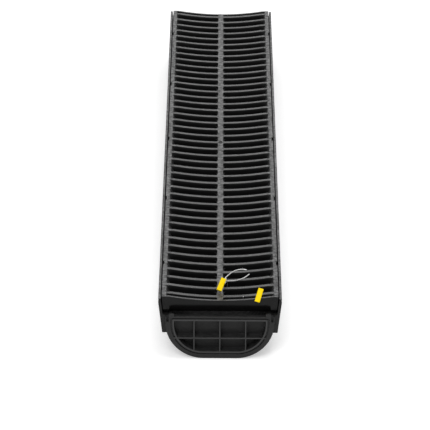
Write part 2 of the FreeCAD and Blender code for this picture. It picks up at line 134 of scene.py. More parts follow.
def in_xz(flat: Array, along: float | Array) -> Array:
    """Puts points (u, v) of a section across the drain at a place along it."""
    across, height = flat[..., 0], flat[..., 1]
    return np.stack(np.broadcast_arrays(across, along, height), axis=-1)


def spread(count: int, pitch: float) -> Array:
    """Places along the drain, evenly apart about its middle."""
    return (np.arange(count) - (count - 1) / 2) * pitch


def placed(name: str, data: bpy.types.ID) -> Object:
    """A new object in the scene that shows a mesh, a lamp or a camera."""
    made = bpy.data.objects.new(name, data)
    bpy.context.scene.collection.objects.link(made)
    return made


class Skin:
    """Grids and flat faces, in millimetres, gathered into one closed mesh."""

    def __init__(self) -> None:
        """Starts with no points and no faces."""
        self.points: list[Array] = []
        self.faces: list[Array] = []
        self.count = 0

    def add(self, points: Array) -> Array:
        """Takes points of any grid shape (..., 3) and gives the index of each one."""
        index = np.arange(points[..., 0].size).reshape(points.shape[:-1]) + self.count
        self.points.append(points.reshape(-1, 3))
        self.count += index.size
        return index

    def grid(self, points: Array, around: bool = False, keep: Array | None = None) -> None:
        """Covers one or more grids of points with quads.

        Args:
            points: The grids, of shape (..., rows, columns, 3).
            around: Whether the last column joins the first.
            keep: Which quads are kept, as a mask of shape (..., rows - 1, columns) or with one
                column less if the grid is open.
        """
        index = self.add(points)
        if around:
            index = np.concatenate([index, index[..., :1]], axis=-1)
        quads = np.stack([index[..., :-1, :-1], index[..., 1:, :-1],
                          index[..., 1:, 1:], index[..., :-1, 1:]], axis=-1)
        self.faces.append(quads.reshape(-1, 4) if keep is None else quads[keep])

    def flat(self, *loops: Array) -> None:
        """Fills a flat face between an outline and the outlines of its holes.

        Args:
            loops: The outline and then its holes, each of shape (points, 3).
        """
        index = np.concatenate([self.add(loop) for loop in loops])
        fill = np.array(tessellate_polygon([loop.tolist() for loop in loops]))
        self.faces.append(index[fill[:, [0, 1, 2, 2]]])

    def mirror(self) -> None:
        """Adds a mirror image across the drain of all that was added so far."""
        points = np.concatenate(self.points) * (-1, 1, 1)
        faces = np.concatenate(self.faces)
        self.faces.append(faces[:, ::-1] + self.count)
        self.points.append(points)
        self.count += len(points)

    def join(self, other: "Skin") -> None:
        """Takes in all that another mesh holds."""
        self.faces += [faces + self.count for faces in other.faces]
        self.points += other.points
        self.count += other.count

    def welded(self) -> tuple[Array, list[list[int]]]:
        """Merges points that coincide, and drops what that leaves of faces with no area.

        Returns:
            The points, and each face's corners as indices.
        """
        points = np.concatenate(self.points)
        keys = np.round(points / WELD).astype(np.int64)
        _, first, inverse = np.unique(keys, axis=0, return_index=True, return_inverse=True)
        faces = inverse.reshape(-1)[np.concatenate(self.faces)]
        repeat = faces == np.roll(faces, -1, axis=1)
        crossed = (faces[:, 0] == faces[:, 2]) | (faces[:, 1] == faces[:, 3])
        quads = faces[(repeat.sum(1) == 0) & ~crossed]
        short = (repeat.sum(1) == 1) & ~crossed
        triangles = faces[short][~repeat[short]].reshape(-1, 3)
        return points[first], quads.tolist() + triangles.tolist()

    def piece(self, name: str, material: Material, slot: str, crease: float = 32.0) -> Object:
        """Makes the scene object, riding on the drain's one body.

        Args:
            name: The object's name.
            material: Its finish.
            slot: The record's material slot that the finish belongs to. Not used.
            crease: Edges that turn by more than this many degrees stay sharp.

        Returns:
            The new object.
        """
        points, faces = self.welded()
        mesh = bpy.data.meshes.new(name)
        mesh.from_pydata(points * MM, [], faces)
        shape = bmesh.new()
        shape.from_mesh(mesh)
        bmesh.ops.recalc_face_normals(shape, faces=shape.faces)
        loose = sum(not edge.is_manifold for edge in shape.edges)
        shape.to_mesh(mesh)
        shape.free()
        mesh.shade_smooth()
        mesh.set_sharp_from_angle(angle=math.radians(crease))
        mesh.materials.append(material)
        piece = placed(name, mesh)
        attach(piece, BODY)
        LOG.info("%s: %d faces, %d open edges", name, len(mesh.polygons), loose)
        return piece


# ---- Shader arithmetic ------------------------------------------------------

class Signal:
    """A socket of a shader tree that takes Python's operators, one Math node for each."""

    def __init__(self, tree: "Tree", socket: bpy.types.NodeSocket) -> None:
        """Keeps the tree that the socket belongs to."""
        self.tree = tree
        self.socket = socket

    def maths(self, operation: str, first: "Signal | float", second: "Signal | float") -> "Signal":
        """One Math node on two values."""
        return self.tree.signal("ShaderNodeMath", {"operation": operation},
                                {0: first, 1: second}, 0)

    def __add__(self, other: "Signal | float") -> "Signal":
        """This value plus another."""
        return self.maths("ADD", self, other)

    def __sub__(self, other: "Signal | float") -> "Signal":
        """This value less another."""
        return self.maths("SUBTRACT", self, other)

    def __rsub__(self, other: "Signal | float") -> "Signal":
        """Another value less this one."""
        return self.maths("SUBTRACT", other, self)

    def __mul__(self, other: "Signal | float") -> "Signal":
        """This value times another."""
        return self.maths("MULTIPLY", self, other)

    __radd__ = __add__
    __rmul__ = __mul__

    def ramp(self, low: float, high: float) -> "Signal":
        """Rises evenly from 0 where this value is low to 1 where it is high."""
        return self.tree.signal("ShaderNodeMapRange", {"clamp": True},
                                {"Value": self, "From Min": low, "From Max": high}, 0)


class Tree:
    """A node tree that is built from expressions."""

    def __init__(self, tree: bpy.types.NodeTree) -> None:
        """Takes a node tree and empties it."""
        self.tree = tree
        tree.nodes.clear()

    def node(self, kind: str, settings: dict[str, object], inputs: dict) -> bpy.types.Node:
        """Adds a node.

        Args:
            kind: The node's type.
            settings: Its settings, made before its sockets are filled.
            inputs: A value, a socket or a signal for each socket, by its name or place.

        Returns:
            The node.
        """
        node = self.tree.nodes.new(kind)
        for name, value in settings.items():
            setattr(node, name, value)
        for key, value in inputs.items():
            link = value.socket if isinstance(value, Signal) else value
            if isinstance(link, bpy.types.NodeSocket):
                self.tree.links.new(link, node.inputs[key])
            else:
                node.inputs[key].default_value = value
        return node

    def signal(self, kind: str, settings: dict[str, object], inputs: dict,
               output: str | int) -> Signal:
        """Adds a node and gives one of its outputs."""
        return Signal(self, self.node(kind, settings, inputs).outputs[output])

    def place(self, stretch: tuple[float, float, float] = (1, 1, 1)) -> Signal:
        """The place on the piece, in metres, with each axis scaled."""
        source = self.signal("ShaderNodeTexCoord", {}, {}, "Object")
        return self.signal("ShaderNodeMapping", {}, {"Vector": source, "Scale": stretch}, 0)

    def noise(self, size: float, detail: float,
              stretch: tuple[float, float, float] = (1, 1, 1)) -> Signal:
        """Fractal noise about 0.5, whose largest features have a size in millimetres."""
        return self.signal("ShaderNodeTexNoise", {},
                           {"Vector": self.place(stretch), "Scale": 1 / (size * MM),
                            "Detail": detail, "Roughness": 0.55}, "Fac")

    def blend(self, share: Signal, low: Signal | tuple, high: tuple) -> Signal:
        """A colour between two, by a share from 0 to 1."""
        start = low if isinstance(low, Signal) else (*low, 1)
        return self.signal("ShaderNodeMix", {"data_type": "RGBA"},
                           {0: share, 6: start, 7: (*high, 1)}, 2)

    def bump(self, height: Signal, depth: float, strength: float) -> Signal:
        """A bumped normal from a height of 0 to 1, whose full depth is in millimetres."""
        return self.signal("ShaderNodeBump", {},
                           {"Height": height, "Distance": depth * MM, "Strength": strength},
                           "Normal")

    def surface(self, inputs: dict) -> None:
        """Ends the tree in a Principled surface."""
        shader = self.node("ShaderNodeBsdfPrincipled", {}, inputs)
        self.node("ShaderNodeOutputMaterial", {}, {"Surface": shader.outputs[0]})


def material(name: str) -> tuple[Material, Tree]:
    """A new material and its empty tree."""
    made = bpy.data.materials.new(name)
    made.use_nodes = True
    return made, Tree(made.node_tree)


# ---- Finishes ---------------------------------------------------------------

@dataclass(frozen=True)
class MouldedPlastic:
    """Black polypropylene from a lightly textured mould.

    The skin has a fine grain, cloudy patches of more and less gloss, and faint flow lines along
    the drain. Faces that look up are a little greyer: partly dust and scuff marks, partly painted
    light on the tops. Whatever stands out in front of a given place along the drain gets a painted
    highlight.
    """

    name: str
    base: float = 0.003
    # Grey of faces that look up: part dust and scuff marks, part painted light on the tops.
    dust_and_top_light: float = 0.05
    roughness: float = 0.42
    specular: float = 0.32
    grain: float = 0.25
    mottle: float = 0.3
    # Faces in front of this place along the drain get a painted highlight.
    front_highlight_place: float = -600.0
    bars_only: bool = False
    middle_bar: float = 3.7
    side_bars: float = 53.4
    # Colour of the painted highlight on the front-most faces.
    front_highlight: float = 0.036

    def on_bars(self, tree: Tree, place: Signal) -> Signal:
        """A mask of 1 on the middle rib and the two side members, and 0 on the slats between.

        Args:
            tree: The material's tree.
            place: The place in the object, in metres.

        Returns:
            The mask, which fades over a millimetre.
        """
        side = tree.signal("ShaderNodeSeparateXYZ", {}, {0: place}, "X") * (1 / MM)
        away = side.maths("ABSOLUTE", side, 0)
        return (away.ramp(self.middle_bar + 1, self.middle_bar)
                + away.ramp(self.side_bars - 1, self.side_bars))

    def make(self) -> Material:
        """Builds the material."""
        made, tree = material(self.name)
        cloud = tree.noise(9.0, 4)
        speckle = tree.noise(1.6, 3)
        mottle = tree.noise(4.5, 3).ramp(0.35, 0.65)
        place = tree.signal("ShaderNodeTexCoord", {}, {}, "Object")
        if self.bars_only:
            mottle = (mottle - 0.5) * self.on_bars(tree, place) + 0.45
        flow = tree.noise(5.0, 2, (1, 0.06, 1))
        normal = tree.signal("ShaderNodeNewGeometry", {}, {}, "Normal")
        # Mask of faces that look up, where light is painted onto the tops.
        top_light_mask = tree.signal("ShaderNodeSeparateXYZ", {}, {0: normal}, "Z").ramp(0.2, 0.95)
        scuffs_and_top_light = top_light_mask * (mottle * 0.6 + speckle.ramp(0.42, 0.62) * 0.4)
        along = tree.signal("ShaderNodeSeparateXYZ", {}, {0: place}, "Y")
        # Mask of the faces in front of that place, where the painted highlight goes.
        front = (along * (-1 / MM)).ramp(-self.front_highlight_place, 0.25 - self.front_highlight_place)
        # Base colour greyed on the tops: dust and scuff marks plus painted top light.
        skin = tree.blend(scuffs_and_top_light, (self.base,) * 3, (self.dust_and_top_light,) * 3)
        gloss = (self.roughness + (cloud - 0.5) * 0.16 + (flow - 0.5) * 0.1
                 - (mottle - 0.5) * self.mottle)
        grain = tree.noise(0.7, 2)
        tree.surface({
            # The front-most faces are blended towards the painted highlight colour.
            "Base Color": tree.blend(front * (0.7 + cloud * 0.6), skin, (self.front_highlight,) * 3),
            "Roughness": gloss + scuffs_and_top_light * 0.1,
            "Specular IOR Level": self.specular,
            "Normal": tree.bump(grain * 0.2 + speckle * 0.3 + mottle * 0.5, 0.5, self.grain),
        })
        return made


@dataclass(frozen=True)
class GalvanisedWire:
    """Bright zinc-coated wire with a slightly uneven coat."""

    name: str
    bright: float = 0.86
    dull: float = 0.66

    def make(self) -> Material:
        """Builds the material."""
        made, tree = material(self.name)
        coat = tree.noise(1.2, 3)
        tree.surface({
            "Base Color": tree.blend(coat.ramp(0.35, 0.7), (self.dull,) * 3, (self.bright,) * 3),
            "Metallic": 1.0,
            "Roughness": 0.28 + coat * 0.2,
            "Normal": tree.bump(coat, 0.05, 0.3),
        })
        return made


@dataclass(frozen=True)
class SleevePlastic:
    """Flat yellow sleeving, slightly paler where it has been pinched."""

    name: str
    colour: tuple[float, float, float] = (1.0, 0.69, 0.0)
    pinched: tuple[float, float, float] = (1.0, 0.76, 0.02)

    def make(self) -> Material:
        """Builds the material."""
        made, tree = material(self.name)
        cloud = tree.noise(3.0, 3)
        weave = tree.noise(0.5, 2)
        tree.surface({
            "Base Color": tree.blend(cloud.ramp(0.4, 0.7), self.colour, self.pinched),
            "Roughness": 0.5 + (cloud - 0.5) * 0.15,
            "Specular IOR Level": 0.05,
            "Normal": tree.bump(weave, 0.05, 0.2),
        })
        return made


# ---- Trough -----------------------------------------------------------------

@dataclass
class Trough:
    """The U-shaped trough with its ledges, side walls, ribs and windows."""

    finish: Material
    length: float = 1000.0
    lip_half: float = 65.0
    lip_top: float = 66.25
    lip_width: float = 2.6
    lip_band: float = 4.0
    lip_edge: float = 0.3
    wall: float = 2.4
    foot: float = 28.3
    foot_half: float = 60.8
    ledge_top: float = 48.0
    ledge_half: float = 60.5
    ledge_corner: float = 2.5
    nose: float = 1.0
    inner_half: float = 50.3
    floor: float = 6.3
    radius: float = 32.3
    rib: float = 2.5
    rib_pitch: float = 100.0
    rib_half: float = 57.5
    rib_radius: float = 40.0
    clip_pitch: float = 200.0
    clips: int = 5
    window: float = 14.0
    window_low: float = 53.0
    window_high: float = 59.6
    steps: int = 14

    def side_out(self, height: float) -> float:
        """Half the width outside the leaning side walls."""
        lean = (self.lip_half - self.foot_half) / (self.lip_top - self.lip_band - self.foot)
        return self.foot_half + lean * (height - self.foot)

    def side_in(self, height: float) -> float:
        """Half the width between the side walls, above the ledges."""
        top = self.lip_half - self.lip_width
        rise = (height - self.ledge_top) / (self.lip_top - self.ledge_top)
        return self.ledge_half + (top - self.ledge_half) * rise

    def bend(self, radius: float, start: float) -> Array:
        """The round corner under one side, from an angle below the level down to the bottom."""
        centre = (self.inner_half - self.radius, self.floor + self.radius)
        angle = np.linspace(start, math.pi / 2, self.steps + 1)
        return np.column_stack([centre[0] + radius * np.cos(angle),
                                centre[1] - radius * np.sin(angle)])

    def lip(self, across: float, into: int) -> Array:
        """A quarter round on the lip's outer (into = -1) or inner (into = 1) edge."""
        angle = np.linspace(0, math.pi / 2, 4)
        edge = self.lip_edge
        return np.column_stack([across + into * edge * (1 - np.sin(angle)),
                                self.lip_top - edge * (1 - np.cos(angle))])

    def outside(self, ribbed: bool) -> Array:
        """The right half of the outside, from the lip's top down to the middle.

        Both forms have the same number of points, so that the steps between them close the
        sides of the ribs.
        """
        under = self.ledge_top - self.wall
        outer = self.radius + self.wall
        side = np.array([
            (self.lip_half, self.lip_top - self.lip_band),
            (self.side_out(self.window_high), self.window_high),
            (self.side_out(self.window_low), self.window_low),
            (self.foot_half, self.foot),
            (self.foot_half - self.wall, self.foot),
        ])
        if ribbed:
            centre = self.rib_half - self.rib_radius
            start = math.asin((self.rib_radius - self.foot) / self.rib_radius)
            angle = np.linspace(start, math.pi / 2, self.steps + 1)
            arc = np.column_stack([centre + self.rib_radius * np.cos(angle),
                                   self.rib_radius * (1 - np.sin(angle))])
            lower = np.concatenate([arc[:1], arc[:1], arc, [(0, 0)]])
        else:
            inside = self.side_out(under) - self.wall
            knee = (self.inner_half + self.wall, under)
            arc = self.bend(outer, 0.0)
            lower = np.concatenate([[(inside, under), knee], arc, [(0, self.floor - self.wall)]])
        return np.concatenate([self.lip(self.lip_half, -1)[::-1], side, lower])

    def inside(self) -> Array:
        """The right half of the inside, from the lip's top down to the middle."""
        ledge = turned(np.array([
            (self.lip_half - self.lip_width, self.lip_top, 0),
            (self.ledge_half, self.ledge_top, self.ledge_corner),
            (self.inner_half, self.ledge_top, self.nose),
            (self.inner_half, self.floor + self.radius, 0),
        ]), 4)[5:-5]
        upper = np.array([(self.side_in(self.window_high), self.window_high),
                          (self.side_in(self.window_low), self.window_low)])
        return np.concatenate([self.lip(self.lip_half - self.lip_width, 1)[::-1], upper, ledge,
                               self.bend(self.radius, 0.0), [(0, self.floor)]])

    def stations(self) -> tuple[Array, Array]:
        """The places along the trough where its section changes.

        Returns:
            The places in order, and whether the section at each one is ribbed.
        """
        half, thick = self.length / 2, self.rib
        count = round(self.length / self.rib_pitch) - 1
        middles = spread(count, self.rib_pitch)
        low, high = middles - thick / 2, middles + thick / 2
        windows = spread(self.clips, self.clip_pitch)
        frames = np.concatenate([windows - self.window / 2, windows + self.window / 2])
        places = np.concatenate([[-half, thick - half, thick - half], low, low, high, high,
                                 frames, [half - thick, half - thick, half]])
        ribbed = np.concatenate([[1, 1, 0], 0 * low, 0 * low + 1, 0 * high + 1, 0 * high,
                                 0 * frames, [0, 1, 1]]).astype(bool)
        rank = np.concatenate([[0, 0, 1], 0 * low, 0 * low + 1, 0 * high, 0 * high + 1,
                               0 * frames, [0, 1, 1]])
        order = np.lexsort((rank, places))
        return places[order], ribbed[order]

    def build(self) -> Object:
        """Makes the trough as one closed surface."""
        places, ribbed = self.stations()
        plain, rib, inner = self.outside(False), self.outside(True), self.inside()
        outer = np.where(ribbed[:, None, None], rib, plain)
        outer = in_xz(outer, places[:, None])
        inner = in_xz(np.broadcast_to(inner, (len(places), *inner.shape)), places[:, None])
        windows = spread(self.clips, self.clip_pitch)
        middle = (places[:-1] + places[1:]) / 2
        cut = (np.abs(middle[:, None] - windows) < self.window / 2).any(1)
        skin = Skin()
        for wall, high in ((outer, 5), (inner, 4)):
            keep = np.ones((wall.shape[0] - 1, wall.shape[1] - 1), bool)
            keep[cut, high] = False
            skin.grid(wall, keep=keep)
        skin.grid(np.stack([outer[:, 0], inner[:, 0]], axis=1))
        frames = np.stack([outer[:, 5:7], inner[:, 4:6]], axis=2)
        for row in range(2):
            skin.grid(frames[:, row], keep=cut[:, None])
        for place in windows:
            for sign in (-1, 1):
                at = int(np.argmin(np.abs(places - place - sign * self.window / 2)))
                skin.grid(frames[at])
        for at in (0, -1):
            skin.flat(np.concatenate([outer[at], inner[at][::-1]]))
        skin.mirror()
        piece = skin.piece("trough", self.finish, "trough_plastic")
        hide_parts("channel_body")
        return piece


# ---- Grate ------------------------------------------------------------------

@dataclass
class Grate:
    """The dished grate: side members, slats, centre rib, end walls and snap lugs."""

    finish: Material
    length: float = 995.0
    height: float = 68.0
    half: float = 61.5
    foot: float = 48.0
    foot_half: float = 59.4
    foot_radius: float = 2.5
    member: float = 4.7
    member_foot: float = 5.0
    slats: int = 43
    pitch: float = 23.1
    slat: float = 6.0
    slat_foot: float = 5.0
    under: float = 55.0
    edge: float = 0.5
    rib: float = 6.3
    rib_foot: float = 7.8
    rib_under: float = 52.5
    ramp: float = 3.6
    ramp_depth: float = 7.0
    inner_corner: float = 2.2
    outer_corner: float = 1.0
    shoulder: float = 54.0
    slope: float = 8.6
    shoulder_radius: float = 20.0
    dish_radius: float = 330.0
    bar: float = 3.2
    face: float = 8.0
    setback: float = 7.5
    apron: float = 2.4
    apron_gap: float = 0.6
    curl: float = 6.0
    arch_radius: float = 9.0
    arch_depth: float = 6.0
    bar_edge: float = 0.4
    apron_edge: float = 0.3
    knee_drop: float = 1.5
    knee_rest: float = 0.8
    sunk: float = 0.02
    wall_columns: int = 61
    block_bottom: float = 53.6
    block_setback: float = 4.5
    end_clearance: float = 0.05
    rib_step: float = 1.0
    clip_pitch: float = 200.0
    clips: int = 5
    lug: float = 11.0
    lug_high: float = 59.2
    lug_low: float = 53.6
    lug_reach: float = 63.6
    lug_land: float = 1.2
    pocket: float = 1.3
    pocket_floor: float = 60.0
    ring_size: tuple[float, float] = (2.05, 2.65)
    ring_band: float = 0.55
    runs: int = 10

    def deck(self, across: Array) -> Array:
        """The height of the grate's top.

        The dish is an arc in the middle, then a straight slope, then an arc the other way round
        onto the level side members. The arcs touch the slope where its angle is theirs.
        """
        angle = math.radians(self.slope)
        x = np.abs(across)
        v_floor = self.height - self.shoulder * math.tan(angle)
        inner = self.dish_radius * math.sin(angle)
        level = self.shoulder + self.shoulder_radius * math.tan(angle / 2)
        outer = level - self.shoulder_radius * math.sin(angle)
        round_floor = (v_floor + self.dish_radius / math.cos(angle)
                       - np.sqrt(self.dish_radius ** 2 - np.minimum(x, inner) ** 2))
        round_top = (self.height - self.shoulder_radius
                     + np.sqrt(self.shoulder_radius ** 2 - np.clip(level - x, 0, None) ** 2))
        slope = v_floor + x * math.tan(angle)
        return np.select([x < inner, x < outer, x < level], [round_floor, slope, round_top],
                         self.height)

    def side(self, height: float) -> float:
        """Half the grate's width at a height."""
        lean = (self.half - self.foot_half) / (self.height - self.foot)
        return self.half - lean * (self.height - height)

    def rib_reach(self, height: Array) -> Array:
        """How far the centre rib reaches from the grate's middle, at each height.

        Below the end bar it steps back by its clearance, and then runs parallel to the wall that
        curls back in front of it.
        """
        knee = self.height - self.face
        low = np.clip(knee - height, 0, None)
        back = low * self.setback / (knee - self.foot - self.apron_gap)
        return self.length / 2 - self.end_clearance - back - (low > 0) * self.rib_step

    def slot_limits(self) -> dict[str, Array]:
        """Where each slot starts and ends along the drain.

        The slats taper, so a slot is longer at its bottom. The first and the last slot have no
        wall of their own at the grate's ends, where they run out to the end walls.

        Returns:
            The slots' low and high limits at the top and at the bottom, and the shares, 0 or 1,
            of the round corners and round edges that each of their two walls has.
        """
        end = self.length / 2 - self.end_clearance
        middle = spread(self.slats + 1, self.pitch)
        top, bottom = (self.pitch - self.slat) / 2, (self.pitch - self.slat_foot) / 2
        limits = {}
        for name, sign, at in (("low", -1, 0), ("high", 1, -1)):
            for level, reach in (("top", top), ("bottom", bottom)):
                limits[f"{name}_{level}"] = middle + sign * reach
                limits[f"{name}_{level}"][at] = sign * end
            limits[f"{name}_round"] = np.ones(self.slats + 1)
            limits[f"{name}_round"][at] = 0
        return limits

    def loop(self) -> dict[str, Array]:
        """A slot's outline as shares, going round it counterclockwise.

        Returns:
            For each point: the share of the way from rib to side ("x") and from low to high
            ("y"), and how many corner radii it stands off in each direction, for the corners at
            the rib ("in_x", "in_y") and at the side ("out_x", "out_y").
        """
        run = np.linspace(0, 1, self.runs + 1)[1:-1]
        turn = np.linspace(0, math.pi / 2, 3)
        none = 0 * turn
        flat = 0 * run
        sin, cos = np.sin(turn), np.cos(turn)
        parts = {
            "x": [run, none + 1, none + 1, 1 - run, none, none],
            "y": [flat, none, none + 1, flat + 1, none + 1, none],
            "in_x": [1 - run, none, none, run, 1 - sin, 1 - cos],
            "in_y": [flat, none, none, flat, cos - 1, 1 - sin],
            "out_x": [-run, sin - 1, cos - 1, run - 1, none, none],
            "out_y": [flat, 1 - cos, sin - 1, flat, none, none],
        }
        return {key: np.concatenate(value) for key, value in parts.items()}

    def rings(self) -> Array:
        """The slots' walls on the right side, as rings from the top face to the bottom face.

        A ring is the slot's outline with round corners. The first rings follow the round edge
        of the top: they are wider by e(1 - sin b) and lower by e(1 - cos b). The others go down
        by a share of the depth below that, along the ramp at the outer end, the flared rib at
        the inner end and the tapered slats. The first and the last ring have sharp corners, to
        meet the faces around them.

        Returns:
            Points of shape (slots, rings, points of a ring, 3).
        """
        limits, loop = self.slot_limits(), self.loop()
        lean = np.sin(math.pi / 4)
        wide = self.edge * np.array([1, 1, 1 - lean, 0, 0, 0, 0, 0, 0])
        drop = self.edge * np.array([0, 0, 1 - lean, 1, 1, 1, 1, 1, 1])
        share = np.array([0, 0, 0, 0, 0.354, 0.39, 0.44, 1, 1])
        corner = np.array([0, 1, 1, 1, 1, 1, 1, 1, 0])
        at_side = (self.height - self.edge) * (1 - share) + self.under * share
        ramp = self.half - self.member
        foot = ramp - self.ramp
        outer = ramp - self.ramp * np.clip((self.height - at_side) / self.ramp_depth, 0, 1)
        outer = np.where(share > 0, outer, ramp + wide - drop * self.ramp / self.ramp_depth)
        outer = np.where(np.arange(9) < 2, ramp + self.edge, np.maximum(outer, foot))
        flare = (share > 0.37) * (self.rib_foot - self.rib) / 2
        inner = self.rib / 2 + flare - wide
        in_radius = (self.inner_corner + wide) * corner
        out_radius = (self.outer_corner + wide) * corner
        rows = (slice(None), slice(None), None)
        low, high = ((limits[f"{name}_top"][:, None] * (1 - share)
                      + limits[f"{name}_bottom"][:, None] * share
                      + sign * wide * limits[f"{name}_round"][:, None])[rows]
                     for name, sign in (("low", -1), ("high", 1)))
        rounded = np.where(loop["y"] > 0, limits["high_round"][:, None],
                           limits["low_round"][:, None])[:, None, :]
        rings = (slice(None), None)
        x = (inner[rings] * (1 - loop["x"]) + outer[rings] * loop["x"]
             + rounded * (in_radius[rings] * loop["in_x"] + out_radius[rings] * loop["out_x"]))
        y = (low * (1 - loop["y"]) + high * loop["y"]
             + rounded * (in_radius[rings] * loop["in_y"] + out_radius[rings] * loop["out_y"]))
        top = self.deck(x) - drop[rings]
        z = top[:, 3:4] * (1 - share[rings]) + self.under * share[rings]
        z[:, :4] = top[:, :4]
        return np.stack([x, y, z], axis=-1)

    def side_profile(self, lug: bool) -> Array:
        """The right side member's outer skin, from its top over the side to its underside.

        Args:
            lug: Whether the section goes through a snap lug and the pocket above it.

        Returns:
            Points (x, z), as many with a lug as without.
        """
        top_half = self.half - self.pocket if lug else self.half
        pocket_half = top_half if lug else self.side(self.pocket_floor)
        land = self.lug_high - self.lug_land
        reach = self.lug_reach
        ramp_foot = self.half - self.member - self.ramp
        corners = np.array([
            (self.half - self.member + self.edge, self.height, 0),
            (top_half, self.height, self.edge),
            (pocket_half, self.pocket_floor, 0),
            (self.side(self.pocket_floor), self.pocket_floor, 0),
            (self.side(self.lug_high), self.lug_high, 0),
            (reach if lug else self.side(self.lug_high - 0.1), self.lug_high - (not lug) * 0.1, 0),
            (reach if lug else self.side(land), land, 0),
            (self.side(self.lug_low), self.lug_low, 0),
            (self.foot_half, self.foot, self.foot_radius),
            (self.foot_half - self.member_foot, self.foot, 0.4),
            (ramp_foot + (self.under - self.lug_low) / (self.under - self.foot)
             * (self.foot_half - self.member_foot - ramp_foot), self.lug_low, 0),
            (ramp_foot, self.under, 0),
        ])
        return turned(corners, 4)

    def block_end(self, along: Array, height: Array) -> Array:
        """Where a side member ends: its foot leans back below the block's bottom edge."""
        low = np.clip(self.block_bottom - height, 0, None)
        back = low * self.block_setback / (self.block_bottom - self.foot)
        return np.sign(along) * (np.abs(along) - back)

    def side_member(self, skin: Skin, places: Array) -> None:
        """Adds the outer skin of the right side member, with its lugs and pockets.

        Args:
            skin: The mesh to add to.
            places: Where the slots' edges are, which the member's edges have to meet.
        """
        middles = spread(self.clips, self.clip_pitch)
        low, high = middles - self.lug / 2, middles + self.lug / 2
        inside = (np.abs(places[:, None] - middles) < self.lug / 2).any(1)
        along = np.concatenate([places, low, low, high, high])
        lug = np.concatenate([inside, 0 * low, 0 * low + 1, 0 * high + 1, 0 * high]).astype(bool)
        rank = np.concatenate([0 * places, 0 * low, 0 * low + 1, 0 * high, 0 * high + 1])
        order = np.lexsort((rank, along))
        along, lug = along[order], lug[order]
        profile = np.where(lug[:, None, None], self.side_profile(True), self.side_profile(False))
        grid = in_xz(profile, along[:, None])
        nearest = places[np.abs(along[:, None] - places).argmin(1)]
        grid[:, :5, 1] = nearest[:, None]
        grid[:, -5:, 1] = nearest[:, None]
        for at in (0, -1):
            grid[at, :, 1] = self.block_end(grid[at, :, 1], grid[at, :, 2])
        skin.grid(grid)

    def end_wall(self, skin: Skin, end: End) -> None:
        """Adds an end bar and the apron that curls back below it.

        The section along the drain is carried across it, and the part of it above the knee
        stretches to follow the dish.

        Args:
            skin: The mesh to add to.
            end: Which end of the grate.
        """
        front, knee = self.length / 2, self.height - self.face
        foot = self.foot + self.apron_gap
        back = front - self.setback
        corners = np.array([
            (front, self.height, self.bar_edge),
            (front, knee - self.knee_drop, self.curl),
            (back, foot, self.apron_edge),
            (back - self.apron, foot, self.apron_edge),
            (front - self.bar, knee - self.knee_drop, self.curl - self.apron),
            (front - self.bar, self.height, self.bar_edge),
        ])
        section = turned(corners, 6)
        half = self.foot_half - self.member_foot / 2
        across = np.linspace(-half, half, self.wall_columns)[:, None]
        rise = np.clip((section[:, 1] - knee - self.knee_rest) / (self.face - self.knee_rest), 0, 1)
        fall = self.height - self.deck(across) + self.sunk
        side = np.clip(np.abs(across) - half + self.arch_radius, 0, self.arch_radius)
        arch = self.arch_radius - np.sqrt(self.arch_radius ** 2 - side ** 2)
        low = np.clip((knee + self.knee_drop - section[:, 1]) / (2 * self.knee_drop), 0, 1)
        sink = np.clip((section[:, 1] - foot) / (knee - self.knee_drop - foot), 0, 1)
        z = section[:, 1] - rise * fall - np.minimum(low, sink) * np.minimum(arch, self.arch_depth)
        grid = np.stack(np.broadcast_arrays(across, section[:, 0] * end.value, z), axis=-1)
        skin.grid(grid, around=True)
        for at in (0, -1):
            skin.flat(grid[at])

    def gate_mark(self, skin: Skin) -> None:
        """Adds the oval ring that the moulding gate left on the middle of the centre rib.

        A point is the oval's own point moved by the band's radius times (cos v, sin v), outwards
        and up.
        """
        around = np.linspace(0, math.tau, 32, endpoint=False)
        section = np.linspace(0, math.tau, 8, endpoint=False)[:, None]
        band = self.ring_band
        x = (self.ring_size[0] + band * np.cos(section)) * np.cos(around)
        y = (self.ring_size[1] + band * np.cos(section)) * np.sin(around)
        z = float(self.deck(np.zeros(1))[0]) + band * 1.2 * np.sin(section) + 0 * x
        grid = np.stack([x, y, z], axis=-1)
        skin.grid(np.concatenate([grid, grid[:1]]), around=True)

